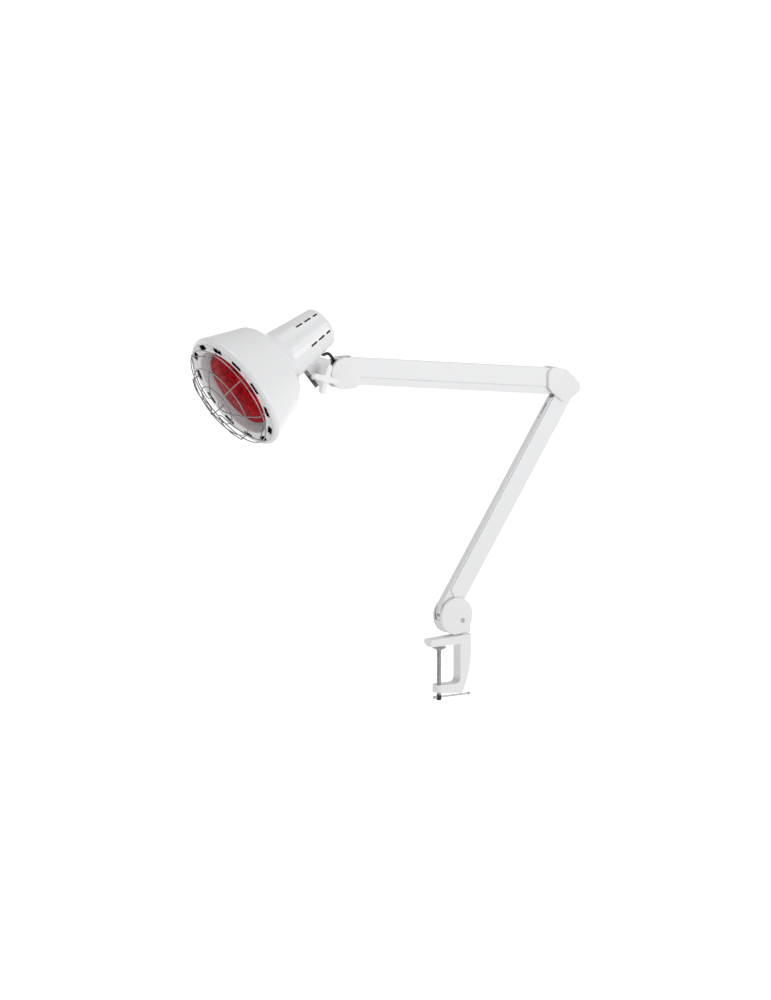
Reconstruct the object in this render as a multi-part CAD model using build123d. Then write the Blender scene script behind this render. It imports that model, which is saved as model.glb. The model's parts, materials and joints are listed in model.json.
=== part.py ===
from build123d import *
import os
from math import atan2, cos, degrees, hypot, pi, radians, sin, sqrt, tan

# Infrared heat therapy lamp on a spring-balanced swing arm with a table clamp. Millimetres, +Z up.
# The origin is where the clamp spindle's axis meets the underside of the upper jaw.
# Arms, knuckles and lamp head all lie in the XZ plane; the near side is -Y.

os.makedirs("parts", exist_ok=True)

# ---------------------------------------------------------------- driving dimensions
# clamp
JAW_WIDTH = 20.0
THROAT_HEIGHT = 60.0
THROAT_DEPTH = 32.0
SPINE_DEPTH = 20.0
UPPER_JAW_REACH = 20.0
UPPER_JAW_TIP = 10.7
UPPER_JAW_ROOT = 14.5
LOWER_JAW_TIP = 11.0
LOWER_JAW_ROOT = 15.5
TOP_ROUND = 2.5
SPINDLE_R = 3.5
PAD_R = 11.0
PAD_THICKNESS = 2.4
PAD_GAP = 2.2
HEAD_LENGTH = 7.6
BAR_R = 1.3
BAR_LENGTH = 61.0
BAR_LEFT = 8.0
BAR_BALL_R = 2.3

# swivel at the base
POST_R = 6.0
POST_LENGTH = 26.0
BUSH_WALL = 1.2
BUSH_FLANGE = 1.5
COLLAR_R = 7.5
COLLAR_HEIGHT = 2.2

# fits
RUNNING = 0.05
SEAT = 0.02
CLEAR = 0.4

# arms: two nested channels each, which make a parallelogram with the knuckles
LOWER_REACH = 390.0
UPPER_REACH = 387.5
LOWER_DIRECTION = 56.6
UPPER_DIRECTION = 172.67
LINK = 15.0
LOWER_LINK_DIRECTION = 210.0
UPPER_LINK_DIRECTION = 270.0
OUTER_WIDTH = 15.5
OUTER_DEPTH = 28.5
OUTER_WALL = 1.5
OUTER_BACK = 8.1
INNER_WALL = 1.0
INNER_END_R = 5.6
LOWER_WEB = 22.6
UPPER_WEB = 31.9
PIN_R = 2.5

# knuckles
KNUCKLE_R = 28.0
COVER_SKIN = 2.5
COVER_CLEAR = 0.25
LIP_CLEAR = 0.55
LIP_WIDTH = 1.6
BOLT_HEAD = 1.9
WASHER_GAP = 0.1
COVER_ROUND = 1.6
SCREW_R = 1.7
SCREW_CAP_R = 3.7
BASE_CENTRE = (24.4, 43.5)
BASE_PIVOT = (-6.7, 4.4)
ELBOW_LOBE = (19.2, -5.9)
ELBOW_LOBE_R = 12.0
UPPER_PIVOT_RISE = 15.4
WRIST_HEIGHT = 47.0
WRIST_WIDTH = 51.0

# lamp head, in its own frame: depth behind the front ring, and radius
HEAD_TILT = 29.8
RIM_CORNER_R = 95.0
RING_R = 87.0
MOUTH_R = 72.0
SHOULDER_R = 68.0
SHOULDER_DEPTH = 73.0
SOCKET_R = 40.5
SOCKET_DEPTH = 92.0
HEAD_DEPTH = 177.0
TAIL_R = 30.0
TAIL_OPENING_R = 24.0
SHELL = 1.2
VENTS = 12
VENT_CIRCLE_R = 81.3
VENT_SIZE = (8.4, 20.0)
SLOT_ROWS = ((137.0, 12.0), (153.0, 12.0), (167.5, 8.0))
SLOT_WIDTH = 3.0
LAMP_R = 61.0
GLASS = 2.0
BULB_DEPTH = 106.0
BULB_NECK_R = 15.0
GUARD_WIRE_R = 0.85
GUARD_SPHERE_R = 145.0
GUARD_HEIGHT = 38.0

# tilt joint of the head, in the head's frame
PIVOT_DEPTH = 130.9
PIVOT_DROP = 60.3
EAR_OUTSIDE = 9.5
EAR_THICKNESS = 2.0
TILT_BOLT_R = 3.0
TONGUE_HALF = 6.0
SWIVEL_REACH = 13.0
COLLAR_RISE = 7.0
TILT_EYE_R = 6.4
NOSE_R = 7.0
NOSE_HEIGHT = 11.0
NOSE_WAIST = 7.6
STUD_R = 4.5
CABLE_R = 2.3
LEAD_DEPTH = 155.0
KNOB_R = 22.5
KNOB_LOBE_R = 4.4
KNOB_FACE = 31.0
KNOB_THICKNESS = 8.0
KNOB_ANGLE = 43.0

# ---------------------------------------------------------------- worked-out places
INNER_WIDTH = OUTER_WIDTH - 2 * OUTER_WALL - 0.7
TONGUE = INNER_WIDTH - 2 * INNER_WALL - 1.0
COVER_LIP = OUTER_WIDTH / 2 + LIP_CLEAR
COVER_INSIDE = OUTER_WIDTH / 2 + WASHER_GAP + BOLT_HEAD + COVER_CLEAR
COVER_FACE = COVER_INSIDE + COVER_SKIN
BLIND_DEPTH = COVER_INSIDE + 1.4
EAR_INSIDE = EAR_OUTSIDE - EAR_THICKNESS
CLAMP_TOP = UPPER_JAW_ROOT
SWIVEL_X = THROAT_DEPTH + SPINE_DEPTH / 2


def turned(length, direction):
    """A vector in the arm plane, by its length and its angle above +X."""
    return (length * cos(radians(direction)), length * sin(radians(direction)))


def moved(point, *vectors):
    """A point moved by vectors, all in the arm plane."""
    return tuple(sum(c) for c in zip(point, *vectors))


BASE_OUTER = moved(BASE_CENTRE, BASE_PIVOT)
BASE_INNER = moved(BASE_OUTER, turned(LINK, LOWER_LINK_DIRECTION))
ELBOW_LOWER_OUTER = moved(BASE_OUTER, turned(LOWER_REACH, LOWER_DIRECTION))
ELBOW_LOWER_INNER = moved(ELBOW_LOWER_OUTER, turned(LINK, LOWER_LINK_DIRECTION))
ELBOW_CENTRE = moved(ELBOW_LOWER_OUTER, (-ELBOW_LOBE[0], -ELBOW_LOBE[1]))
ELBOW_UPPER_OUTER = moved(ELBOW_CENTRE, (0, UPPER_PIVOT_RISE))
ELBOW_UPPER_INNER = moved(ELBOW_UPPER_OUTER, turned(LINK, UPPER_LINK_DIRECTION))
WRIST_OUTER = moved(ELBOW_UPPER_OUTER, turned(UPPER_REACH, UPPER_DIRECTION))
WRIST_INNER = moved(WRIST_OUTER, turned(LINK, UPPER_LINK_DIRECTION))
WRIST_CENTRE = moved(WRIST_OUTER, (0, -UPPER_PIVOT_RISE))
TILT_PIVOT = moved(WRIST_CENTRE, (-44.5, -2.2))
SWIVEL_HEAD_X = TILT_PIVOT[0] + SWIVEL_REACH


def relative(point, centre):
    return (point[0] - centre[0], point[1] - centre[1])


def save(name, *solids):
    """Writes one sub-part, which may be a group of separate solids."""
    shapes = [s for part in solids for s in part.solids()]
    for shape in shapes:
        shape.label = name
    out = shapes[0] if len(shapes) == 1 else Compound(label=name, children=shapes)
    export_step(out, f"parts/{name}.step")


def side_frame(point, direction=0.0):
    """Sketch frame in the arm plane: x along the direction, z towards the near side."""
    along = turned(1.0, direction)
    return Plane(
        origin=(point[0], 0, point[1]), x_dir=(along[0], 0, along[1]), z_dir=(0, -1, 0)
    ).location


def plate(sketch, low, high):
    """A sketch made solid between two distances from the arm plane."""
    return extrude(Pos(0, 0, low) * sketch, amount=high - low)


def both(sketch, half):
    return plate(sketch, -half, half)


def disc(point, radius):
    return Pos(*point) * Circle(radius)


def outline(*points):
    return make_face(Polyline(*points, close=True))


def hull(*sketches):
    return make_hull([e for s in sketches for e in s.edges()])


def rod(point, radius, low, high):
    return Pos(point[0], point[1], low) * Cylinder(
        radius, high - low, align=(Align.CENTER, Align.CENTER, Align.MIN)
    )


def turned_solid(*points):
    """A solid of revolution about Z from (radius, height) points."""
    return revolve(Plane.XZ * outline(*points), Axis.Z)


def shell_of(points, radii, wall):
    """A thin spun shell about Z whose middle line has rounded corners."""
    line = FilletPolyline(*points, radius=radii)
    return revolve(Plane.XZ * trace(line, wall), Axis.Z)


def upright(x, radius, low, high, y=0.0):
    """A round rod along world Z."""
    return Pos(x, y, low) * Cylinder(
        radius, high - low, align=(Align.CENTER, Align.CENTER, Align.MIN)
    )


# ---------------------------------------------------------------- clamp
LOWER_JAW_BOTTOM = -THROAT_HEIGHT - LOWER_JAW_ROOT
HEAD_TOP = LOWER_JAW_BOTTOM - 1.0
BAR_Z = HEAD_TOP - 2.8
BUSH_TOP = CLAMP_TOP + BUSH_FLANGE
POST_BOTTOM = BUSH_TOP - POST_LENGTH


def clamp_frame():
    back = THROAT_DEPTH + SPINE_DEPTH
    tip = -JAW_WIDTH / 2
    heel = (back - LOWER_JAW_ROOT, LOWER_JAW_BOTTOM)
    profile = make_face(
        Curve()
        + Polyline(
            (back, 0), (back, CLAMP_TOP), (-UPPER_JAW_REACH, UPPER_JAW_TIP), (-UPPER_JAW_REACH, 0),
            (THROAT_DEPTH, 0), (THROAT_DEPTH, -THROAT_HEIGHT), (tip, -THROAT_HEIGHT),
            (tip, -THROAT_HEIGHT - LOWER_JAW_TIP), heel,
        )
        + ThreePointArc(heel, (back - 2.4, LOWER_JAW_BOTTOM * 0.47), (back, 0))
    )
    throat = profile.vertices().sort_by_distance((THROAT_DEPTH, -THROAT_HEIGHT))[0]
    profile = fillet(throat, 8.0)
    frame = side_frame((0, 0)) * both(profile, JAW_WIDTH / 2)
    # the lower jaw's end is round about the spindle
    square_end = Pos(tip - 1, 0, -THROAT_HEIGHT - LOWER_JAW_TIP / 2) * Box(
        1 - tip, JAW_WIDTH + 2, 2 * LOWER_JAW_TIP, align=(Align.MIN, Align.CENTER, Align.CENTER)
    )
    frame -= square_end - upright(0, JAW_WIDTH / 2, 2 * LOWER_JAW_BOTTOM, 0)
    frame = fillet(frame.edges().filter_by(Axis.Z).filter_by(lambda e: e.center().X > THROAT_DEPTH), 2.5)
    top = frame.edges().filter_by(lambda e: e.center().Z > UPPER_JAW_TIP and abs(e.center().Y) > JAW_WIDTH / 2 - 1)
    frame = fillet(top.filter_by(lambda e: e.length > 50), TOP_ROUND)
    # the upper jaw's end is cut back under its far corner
    undercut = Pos(-UPPER_JAW_REACH, JAW_WIDTH / 2, 0) * Rot(0, 0, 45) * Rot(0, 45, 0)
    frame -= undercut * Box(9, 9, 5)
    frame -= upright(0, SPINDLE_R + RUNNING, 2 * LOWER_JAW_BOTTOM, -THROAT_HEIGHT + 1)
    frame -= upright(SWIVEL_X, POST_R + RUNNING + BUSH_WALL, POST_BOTTOM - 2, CLAMP_TOP + 5)
    return frame


def swivel_bush():
    outside = POST_R + RUNNING + BUSH_WALL - SEAT
    tube = upright(SWIVEL_X, outside, POST_BOTTOM - 1, CLAMP_TOP)
    flange = upright(SWIVEL_X, COLLAR_R + 1, CLAMP_TOP, BUSH_TOP)
    return tube + flange - upright(SWIVEL_X, POST_R + RUNNING, POST_BOTTOM - 2, BUSH_TOP + 1)


def clamp_pad():
    top = -PAD_GAP
    boss = top - PAD_THICKNESS - 2.5
    pad = turned_solid(
        (0, top), (PAD_R - 0.6, top), (PAD_R, top - 0.7), (PAD_R - 1.5, top - PAD_THICKNESS),
        (SPINDLE_R + 2, top - PAD_THICKNESS), (SPINDLE_R + 1.5, boss), (0, boss),
    )
    return pad - upright(0, SPINDLE_R - 0.5 + RUNNING, boss - 1, top - 1)


def clamp_spindle():
    tip = -PAD_GAP - 1.2
    neck = -PAD_GAP - PAD_THICKNESS - 2.8
    return turned_solid(
        (0, tip), (SPINDLE_R - 0.5, tip), (SPINDLE_R - 0.5, neck), (SPINDLE_R, neck),
        (SPINDLE_R, HEAD_TOP), (0, HEAD_TOP),
    )


def spindle_head():
    head = turned_solid(
        (0, HEAD_TOP - SEAT), (SPINDLE_R + 0.3, HEAD_TOP - SEAT),
        (SPINDLE_R + 0.3, HEAD_TOP - HEAD_LENGTH + 1), (SPINDLE_R - 0.6, HEAD_TOP - HEAD_LENGTH),
        (0, HEAD_TOP - HEAD_LENGTH),
    )
    return head - Pos(0, 0, BAR_Z) * Rot(0, 90, 0) * Cylinder(BAR_R + RUNNING, 4 * SPINDLE_R)


def tommy_bar():
    low, high = -BAR_LEFT, BAR_LENGTH - BAR_LEFT
    bar = Pos((low + high) / 2, 0, BAR_Z) * Rot(0, 90, 0) * Cylinder(BAR_R, high - low)
    return bar + Pos(low, 0, BAR_Z) * Sphere(BAR_BALL_R) + Pos(high, 0, BAR_Z) * Sphere(BAR_BALL_R)


save("clamp_frame", clamp_frame())
save("swivel_bush", swivel_bush())
save("clamp_pad", clamp_pad())
save("clamp_spindle", clamp_spindle())
save("spindle_head", spindle_head())
save("tommy_bar", tommy_bar())


# ---------------------------------------------------------------- arms
HOLE_R = PIN_R + RUNNING
SPACER_R = 3.5
OUTER_HALF = OUTER_WIDTH / 2
INNER_HALF = INNER_WIDTH / 2
TONGUE_SIDE = TONGUE / 2
WIDE = COVER_INSIDE - SEAT
WEB_SETBACK = 18.0


def channel(side, cavity, half, wall, holes):
    """A folded channel: its side outline, hollowed between the walls, with pivot holes."""
    body = both(side, half) - both(cavity, half - wall)
    for hole in holes:
        body -= rod(hole, HOLE_R, -2 * half, 2 * half)
    return body


def outer_channel(reach, cut_back=0.0):
    """The outer channel in its arm's frame, from its lower pivot; it opens towards the inner one."""
    mouth = OUTER_DEPTH - OUTER_BACK
    straight = outline(
        (0, -OUTER_BACK), (reach, -OUTER_BACK), (reach - 14, mouth), (14, mouth)
    )
    side = hull(disc((0, 0), OUTER_BACK), disc((reach, 0), OUTER_BACK), straight)
    if cut_back:
        side -= outline(
            (-40, OUTER_BACK), (cut_back - 8, OUTER_BACK), (cut_back, mouth), (cut_back, 60), (-40, 60))
    inside = Pos(reach / 2, OUTER_WALL - OUTER_BACK) * Rectangle(
        reach + 60, 60, align=(Align.CENTER, Align.MIN)
    )
    # the back web stops short of the pivots, so that the knuckles' tongues can swing through
    for end in (WEB_SETBACK - 40, reach - WEB_SETBACK):
        inside += Pos(end, -60) * Rectangle(40, 90, align=Align.MIN)
    return channel(side, inside, OUTER_HALF, OUTER_WALL, [(0, 0), (reach, 0)])


def inner_channel(reach, link, web, start, tuck, stop):
    """The inner channel. Its web runs from start to stop, and tucks inwards before start."""
    near, far = link, (reach + link[0], link[1])
    tucked = (start - 15, web - tuck)
    side = hull(
        disc(near, INNER_END_R), disc(far, INNER_END_R),
        outline(tucked, (start, web), (stop, web), (reach / 2, link[1])),
    )
    below = Pos(-40, 0) * outline(
        (0, -60), (0, tucked[1] - INNER_WALL), (95, tucked[1] - INNER_WALL), (95, -60)
    )
    beyond = outline(
        (50, -60), (50, web - INNER_WALL), (reach + 60, web - INNER_WALL), (reach + 60, -60)
    )
    cavity = Pos(0, -INNER_WALL) * side + below + beyond
    body = channel(side, cavity, INNER_HALF, INNER_WALL, [near, far])
    # a curved relief lets the inner channel swing past the outer pivot's spacer
    relief = Circle(LINK + SPACER_R + 0.6) - Circle(LINK - SPACER_R - 0.6)
    relief = Pos(*near) * relief & Pos(near[0], near[1] + 1.0) * Rectangle(
        80, 60, align=(Align.CENTER, Align.MAX)
    )
    return body - both(relief, INNER_HALF + 1)


def spring(start, stop, radius, wire):
    """A close-wound tension spring as its outer sleeve, with a hook eye at each end."""
    along = hypot(stop[0] - start[0], stop[1] - start[1])
    coil_from, coil_to = 0.16 * along, 0.86 * along
    coil = Pos(coil_from, 0, 0) * Rot(0, 90, 0) * Cylinder(
        radius, coil_to - coil_from, align=(Align.CENTER, Align.CENTER, Align.MIN)
    )
    tails = Pos(3, 0, 0) * Rot(0, 90, 0) * Cylinder(
        wire, along - 6, align=(Align.CENTER, Align.CENTER, Align.MIN)
    )
    eyes = Torus(3.0, wire) + Pos(along, 0, 0) * Torus(3.0, wire)
    turn = degrees(atan2(stop[1] - start[1], stop[0] - start[0]))
    return Pos(start[0], start[1], 0) * Rot(0, 0, turn) * (coil + tails + eyes)


def spring_anchor(point, web):
    """Saddle on the inner channel's web with an adjusting screw and a cross pin for the spring."""
    top = web - INNER_WALL - SEAT
    saddle = plate(
        outline(
            (point[0] - 3, point[1] - 4), (point[0] + 16, top - 6), (point[0] + 16, top),
            (point[0] - 8, top), (point[0] - 8, top - 4),
        ), -4.2, 4.2,
    )
    slot = plate(hull(disc(point, 5.0), disc((point[0] - 9, point[1]), 4.0)), -1.6, 1.6)
    pin = rod(point, 1.6, -4.2, 4.2)
    return saddle + rod(point, 3.4, -4.2, 4.2) - slot + pin


lower_link = turned(LINK, LOWER_LINK_DIRECTION - LOWER_DIRECTION)
upper_link = turned(LINK, UPPER_LINK_DIRECTION - UPPER_DIRECTION)
lower_frame = side_frame(BASE_OUTER, LOWER_DIRECTION)
upper_frame = side_frame(ELBOW_UPPER_OUTER, UPPER_DIRECTION)

SLOT_FROM, SLOT_TO = 60.0, 41.0
lower_inner = inner_channel(LOWER_REACH, lower_link, LOWER_WEB, 6.0, 5.4, LOWER_REACH - 32)
slot_middle = LOWER_REACH - (SLOT_FROM + SLOT_TO) / 2
slot_tool = SlotOverall(SLOT_FROM - SLOT_TO, 2.4)
web_cut = Pos(slot_middle, LOWER_WEB, 0) * Rot(90, 0, 0) * extrude(slot_tool, 3, both=True)
hole_cut = Pos(LOWER_REACH - 66, LOWER_WEB, 0) * Rot(90, 0, 0) * Cylinder(1.3, 6)
lower_inner = lower_inner - web_cut - hole_cut

save("lower_outer_channel", lower_frame * outer_channel(LOWER_REACH, 29.7))
save("lower_inner_channel", lower_frame * lower_inner)
save("upper_outer_channel", upper_frame * outer_channel(UPPER_REACH))
save("upper_inner_channel", upper_frame * inner_channel(
    UPPER_REACH, upper_link, UPPER_WEB, 20.0, 4.0, UPPER_REACH - 22))

SPRING_R = 4.2
SPRING_WIRE = 0.9
LOWER_POST = (9.8, 8.8)
UPPER_POST = (8.0, 9.5)
LOWER_ANCHOR = (LOWER_REACH - 62, 14.0)
UPPER_ANCHOR = (UPPER_REACH - 70, 20.0)
save("lower_spring", lower_frame * spring(LOWER_POST, LOWER_ANCHOR, SPRING_R, SPRING_WIRE))
save("upper_spring", upper_frame * spring(UPPER_POST, UPPER_ANCHOR, SPRING_R, SPRING_WIRE))
save("lower_spring_anchor", lower_frame * spring_anchor(LOWER_ANCHOR, LOWER_WEB))
save("upper_spring_anchor", upper_frame * spring_anchor(UPPER_ANCHOR, UPPER_WEB))


# ---------------------------------------------------------------- knuckles
def turn_back(point, direction):
    """A place given in an arm's frame, as an offset in the upright frame."""
    length, angle = hypot(*point), degrees(atan2(point[1], point[0]))
    return turned(length, angle + direction)


def pivot_bolt(point):
    """A pivot bolt with a low head and nut outside the outer channel's walls."""
    reach = OUTER_HALF + WASHER_GAP
    head = rod(point, 4.4, reach, reach + BOLT_HEAD)
    nut = plate(Pos(*point) * RegularPolygon(4.4, 6), -reach - BOLT_HEAD, -reach)
    return rod(point, PIN_R, -reach - 1, reach + 1) + head + nut


def spacers(point):
    ring = disc(point, SPACER_R) - disc(point, PIN_R + SEAT)
    gap = OUTER_HALF - OUTER_WALL - 0.05
    return [plate(ring, TONGUE_SIDE + SEAT, gap), plate(ring, -gap, -TONGUE_SIDE - SEAT)]


def link_pin(point):
    return rod(point, PIN_R, -INNER_HALF, INNER_HALF)


def pinned(block, holes, post):
    """Drills a knuckle's tongue for its pins and makes the fork and pin that hold a spring's eye."""
    for hole in holes:
        block -= rod(hole, PIN_R + SEAT, -2 * KNUCKLE_R, 2 * KNUCKLE_R)
    block -= plate(disc(post, 5.4), -1.5, 1.5)
    return block + rod(post, 1.6, -TONGUE_SIDE, TONGUE_SIDE)


def wide(region, shape):
    """A knuckle's full-width part, stepped to clear the lips of both covers."""
    inside = offset(shape, -LIP_WIDTH - 0.15)
    return both(region, COVER_LIP - 0.1) + both(region & inside, WIDE)


def cover(shape, screw, blind):
    """A knuckle's near side cover: a shallow moulded shell with a rounded edge and a screw hole."""
    skin = plate(shape, COVER_INSIDE, COVER_FACE)
    skin = fillet(skin.faces().sort_by(Axis.Z)[-1].edges(), COVER_ROUND)
    lip = plate(shape - offset(shape, -LIP_WIDTH), COVER_LIP, COVER_INSIDE)
    if blind:
        return skin + lip - rod(screw, SCREW_R + RUNNING, 0, BLIND_DEPTH + 0.1)
    return (skin + lip - rod(screw, SCREW_R + RUNNING, 0, 2 * COVER_FACE)
            - rod(screw, SCREW_CAP_R + 0.1, COVER_FACE - 1.2, 2 * COVER_FACE))


def cover_screws(point, blind):
    """The screw of a pair of covers, with a flush cap on the far side or on both."""
    cap = rod(point, SCREW_CAP_R, COVER_FACE - 1.18, COVER_FACE + 0.3)
    cap = fillet(cap.faces().sort_by(Axis.Z)[-1].edges(), 0.4)
    far_cap = mirror(cap, about=Plane.XY)
    if blind:
        return rod(point, SCREW_R, 1 - COVER_FACE, BLIND_DEPTH) + far_cap
    return rod(point, SCREW_R, 1 - COVER_FACE, COVER_FACE - 1) + cap + far_cap


def save_knuckle(name, frame, block, shape, screw, outer, inner, blind=True):
    save(f"{name}_block", frame * (block - rod(screw, SCREW_R + RUNNING, -40, 40)))
    save(f"{name}_cover_near", frame * cover(shape, screw, blind))
    save(f"{name}_cover_far", frame * mirror(cover(shape, screw, False), about=Plane.XY))
    save(f"{name}_cover_screw", frame * cover_screws(screw, blind))
    save(f"{name}_pivot_bolts", *[frame * pivot_bolt(p) for p in outer])
    save(f"{name}_link_pins", *[frame * link_pin(p) for p in inner])
    save(f"{name}_spacers", *[frame * s for p in outer for s in spacers(p)])


# base: the skirt closes the gap between the covers below the arm
frame = side_frame(BASE_CENTRE)
neck_x = SWIVEL_X - BASE_CENTRE[0]
collar_top = BUSH_TOP + COLLAR_HEIGHT - BASE_CENTRE[1]
outer = relative(BASE_OUTER, BASE_CENTRE)
inner = relative(BASE_INNER, BASE_CENTRE)
post = moved(outer, turn_back(LOWER_POST, LOWER_DIRECTION))
neck = outline(
    (neck_x - 8, collar_top), (neck_x + 6, collar_top), (neck_x + 6, -3), (neck_x - 8, -12)
)
BASE_SCREW = (10.0, -7.3)
skirt = (disc((0, 0), KNUCKLE_R - 0.4) - disc((0, 0), KNUCKLE_R - 1.4)) & hull(
    outline((0, 0), turned(60, 180), turned(60, 225)), outline(turned(80, 240), turned(80, 300))
)
tongue = hull(disc(outer, 6.5), disc(inner, 6.0), disc(BASE_SCREW, 6.0))
tongue += hull(disc(outer, 6.0), disc(post, 4.2))
tongue += (disc((0, 0), KNUCKLE_R - 1) & outline((-14, -8), (12, -8), (16, -40), (-8, -40)))
tab = outline(
    (neck_x - 8.6, collar_top - 1), (neck_x + 6.6, collar_top - 1), (neck_x + 6.6, 0), (neck_x - 8.6, 0)
)
shape = disc((0, 0), KNUCKLE_R) + tab
block = both(tongue, TONGUE_SIDE) + wide(neck + skirt + hull(disc(BASE_SCREW, 5.0), neck), shape)
block = pinned(block, [outer, inner], post)
# a notch in the skirt's upper edge lets the inner channel lean back
block -= both(outline((0, 0), turned(40, 178), turned(40, 191)) - disc((0, 0), KNUCKLE_R - 1.6), 7.0)
foot = upright(SWIVEL_X, COLLAR_R, BUSH_TOP + 0.05, BUSH_TOP + COLLAR_HEIGHT)
foot += upright(SWIVEL_X, POST_R, POST_BOTTOM, BUSH_TOP + COLLAR_HEIGHT + 1)
block += frame.inverse() * foot
save_knuckle("base", frame, block, shape, BASE_SCREW, [outer], [inner], blind=False)

# elbow: a rounded cover that slopes to a lobe over the lower arm's pivot
frame = side_frame(ELBOW_CENTRE)
lower_outer = relative(ELBOW_LOWER_OUTER, ELBOW_CENTRE)
lower_inner_pin = relative(ELBOW_LOWER_INNER, ELBOW_CENTRE)
upper_outer = relative(ELBOW_UPPER_OUTER, ELBOW_CENTRE)
upper_inner_pin = relative(ELBOW_UPPER_INNER, ELBOW_CENTRE)
post = moved(upper_outer, turn_back(UPPER_POST, UPPER_DIRECTION))
shape = hull(
    disc((-14.4, 15.6), 11.5), disc((-14.9, 1.6), 11.0), disc((4.1, -15.4), 11.0), disc((-2.9, 3.2), 21.0),
    disc(ELBOW_LOBE, ELBOW_LOBE_R))
rim = offset(shape, -0.4) - offset(shape, -2.6)
rim &= outline(
    (8.5, 8.5), (45, 78), (90, 80), (90, -8), moved(ELBOW_LOBE, (4, 2))
)
ELBOW_SCREW = (11.0, 7.5)
tongue = hull(disc(upper_outer, 6.5), disc(upper_inner_pin, 6.0), disc(ELBOW_SCREW, 5.0))
tongue += hull(disc(lower_outer, 6.5), disc(lower_inner_pin, 6.0), disc(ELBOW_SCREW, 5.0))
tongue += hull(disc(upper_outer, 5.0), disc(post, 4.2)) + (
    offset(shape, -1.5) & outline((0, 0), (20, 45), (60, 20), (60, -6), (19, -6)))
block = both(tongue, TONGUE_SIDE) + wide(rim + disc(ELBOW_SCREW, 4.5), shape)
block = pinned(block, [lower_outer, lower_inner_pin, upper_outer, upper_inner_pin], post)
save_knuckle(
    "elbow", frame, block, shape, ELBOW_SCREW,
    [lower_outer, upper_outer], [lower_inner_pin, upper_inner_pin])

# wrist: rounded towards the head, with a nose that carries the neck
frame = side_frame(WRIST_CENTRE)
outer = relative(WRIST_OUTER, WRIST_CENTRE)
inner = relative(WRIST_INNER, WRIST_CENTRE)
half_height, half_width = WRIST_HEIGHT / 2, WRIST_WIDTH / 2
shape = make_face(
    Curve()
    + Line((0, half_height), (half_width - 5, half_height))
    + ThreePointArc(
        (half_width - 5, half_height), (half_width, 0), (half_width - 5, -half_height))
    + Line((half_width - 5, -half_height), (0, -half_height))
    + ThreePointArc((0, -half_height), (-half_width, 0), (0, half_height))
)
low, high = shape.vertices().filter_by(lambda v: v.X > 5).sort_by(Axis.Y)
shape = fillet(high, 4.0)
low = shape.vertices().filter_by(lambda v: v.X > 5).sort_by(Axis.Y)[0]
shape = fillet(low, 8.0)
wall = (offset(shape, -0.4) & Pos(-9.9, 0) * Rectangle(1.6, 80))
cap_strip = (offset(shape, -0.4) - offset(shape, -2.2)) & outline(
    (-10.7, 8), (-10.7, 40), (-6.3, 40), (-6.3, 8))
nose_z = TILT_PIVOT[1] - WRIST_CENTRE[1]
axis_x = SWIVEL_HEAD_X - WRIST_CENTRE[0]
WRIST_SCREW = (-16.0, -8.0)
tongue = hull(disc(outer, 6.0), disc(inner, 6.0), disc(WRIST_SCREW, 5.0))
tongue += hull(disc(outer, 5.0), disc(inner, 5.0), outline((-10.5, 16), (-10.5, -16), (-8, 0)))
block = both(tongue, TONGUE_SIDE) + wide(wall + cap_strip + disc(WRIST_SCREW, 4.0), shape)
nose = upright(SWIVEL_HEAD_X, NOSE_R, TILT_PIVOT[1] - NOSE_HEIGHT, TILT_PIVOT[1])
nose += Pos(SWIVEL_HEAD_X, 0, TILT_PIVOT[1] - NOSE_HEIGHT / 2) * Box(
    -10.4 - axis_x, NOSE_WAIST, NOSE_HEIGHT, align=(Align.MIN, Align.CENTER, Align.CENTER))
block += frame.inverse() * nose
for hole in (outer, inner):
    block -= rod(hole, PIN_R + SEAT, -40, 40)
block -= frame.inverse() * upright(
    SWIVEL_HEAD_X, STUD_R + RUNNING, TILT_PIVOT[1] - 40, TILT_PIVOT[1] + 10)
save_knuckle("wrist", frame, block, shape, WRIST_SCREW, [outer], [inner])


# ---------------------------------------------------------------- neck
frame = side_frame(TILT_PIVOT)
tongue = hull(disc((0, 0), TILT_EYE_R), outline(
    (2, 0.4), (SWIVEL_REACH, 0.4), (SWIVEL_REACH, COLLAR_RISE - 0.6), (2, COLLAR_RISE - 0.6)))
neck_part = frame * both(tongue, TONGUE_HALF)
neck_part -= upright(SWIVEL_HEAD_X, NOSE_R + CLEAR, TILT_PIVOT[1] - 20, TILT_PIVOT[1] + 0.35)
neck_part += upright(SWIVEL_HEAD_X, NOSE_R, TILT_PIVOT[1] + 0.35, TILT_PIVOT[1] + COLLAR_RISE)
neck_part += upright(
    SWIVEL_HEAD_X, STUD_R, TILT_PIVOT[1] - NOSE_HEIGHT - 3, TILT_PIVOT[1] + 1)
neck_part -= upright(
    SWIVEL_HEAD_X, CABLE_R + SEAT, TILT_PIVOT[1] - 40, TILT_PIVOT[1] + 40)
neck_part -= frame * rod((0, 0), TILT_BOLT_R + SEAT, -20, 20)
save("neck", neck_part)
ring_top = TILT_PIVOT[1] - NOSE_HEIGHT - 0.1
save("neck_retainer", upright(SWIVEL_HEAD_X, NOSE_R - 0.5, ring_top - 1.6, ring_top)
     - upright(SWIVEL_HEAD_X, STUD_R + SEAT, ring_top - 5, ring_top + 5))


# ---------------------------------------------------------------- lamp head
tilt = radians(HEAD_TILT)
face_centre = moved(
    TILT_PIVOT,
    (-PIVOT_DEPTH * cos(tilt), -PIVOT_DEPTH * sin(tilt)),
    (-PIVOT_DROP * sin(tilt), PIVOT_DROP * cos(tilt)),
)
head_frame = Plane(
    origin=(face_centre[0], 0, face_centre[1]),
    x_dir=(sin(tilt), 0, -cos(tilt)), z_dir=(cos(tilt), 0, sin(tilt)),
).location


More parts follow.
